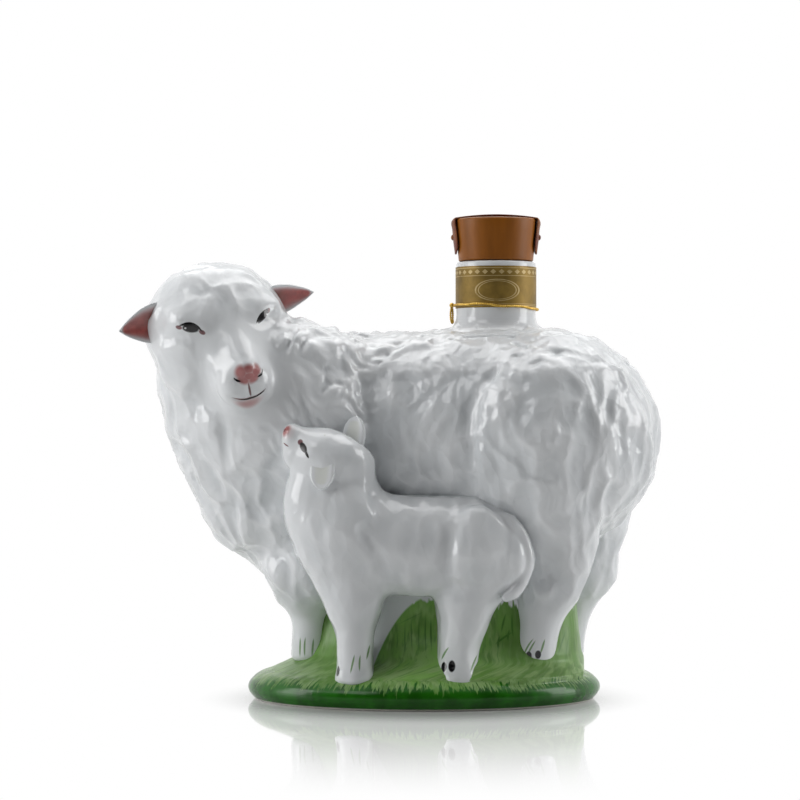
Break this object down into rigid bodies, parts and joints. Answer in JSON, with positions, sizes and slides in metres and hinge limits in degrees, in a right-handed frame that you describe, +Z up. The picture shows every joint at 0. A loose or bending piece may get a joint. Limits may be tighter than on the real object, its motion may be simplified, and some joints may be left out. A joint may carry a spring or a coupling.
{
  "type": "figural liquor decanter",
  "caption": "Glazed ceramic decanter shaped as a standing ewe with her lamb on an oval turf plinth, with a corked bottle neck on the ewe's back.",
  "frame": {"origin": "centre of the flat foot under the plinth", "axes": "+Z up; +X along the plinth from the ewe's head to her rump; -Y towards the side where the lamb stands"},
  "size_m": [0.1988, 0.0981, 0.1776],
  "materials": {
    "white_glaze": "glossy white glaze over sculpted wool",
    "face_glaze": "glossy white glaze with painted eyes, nose and mouth",
    "ear_glaze": "glossy white glaze, pink inside the ear",
    "lamb_glaze": "glossy white glaze with painted eyes, nose and hooves",
    "green_glaze": "glossy green glaze with painted grass blades",
    "neck_glaze": "smooth glossy white glaze",
    "label_paper": "gold-bronze printed paper",
    "gold_cord": "gold thread over elastic",
    "cap_brown": "satin brown",
    "cork": "natural cork",
    "strap_brown": "smooth brown strap"
  },
  "bodies": {
    "decanter": {"ewe_body": "white_glaze", "ewe_breast": "white_glaze", "ewe_near_fore_leg": "white_glaze", "ewe_far_fore_leg": "white_glaze", "ewe_near_hind_leg": "white_glaze", "ewe_far_hind_leg": "white_glaze", "ewe_head": "face_glaze", "ewe_left_ear": "ear_glaze", "ewe_right_ear": "ear_glaze", "lamb_body": "lamb_glaze", "lamb_left_ear": "lamb_glaze", "lamb_right_ear": "lamb_glaze", "grass_base": "green_glaze", "bottle_neck": "neck_glaze", "neck_label": "label_paper", "neck_cord": "gold_cord"},
    "stopper": {"stopper_cap": "cap_brown", "stopper_cork": "cork", "seal_strap": "strap_brown"}
  },
  "joints": [
    {"name": "stopper_pull", "type": "slide", "parent": "decanter", "child": "stopper", "axis": [0, 0, 1], "range_m": [0, 0.045]}
  ]
}
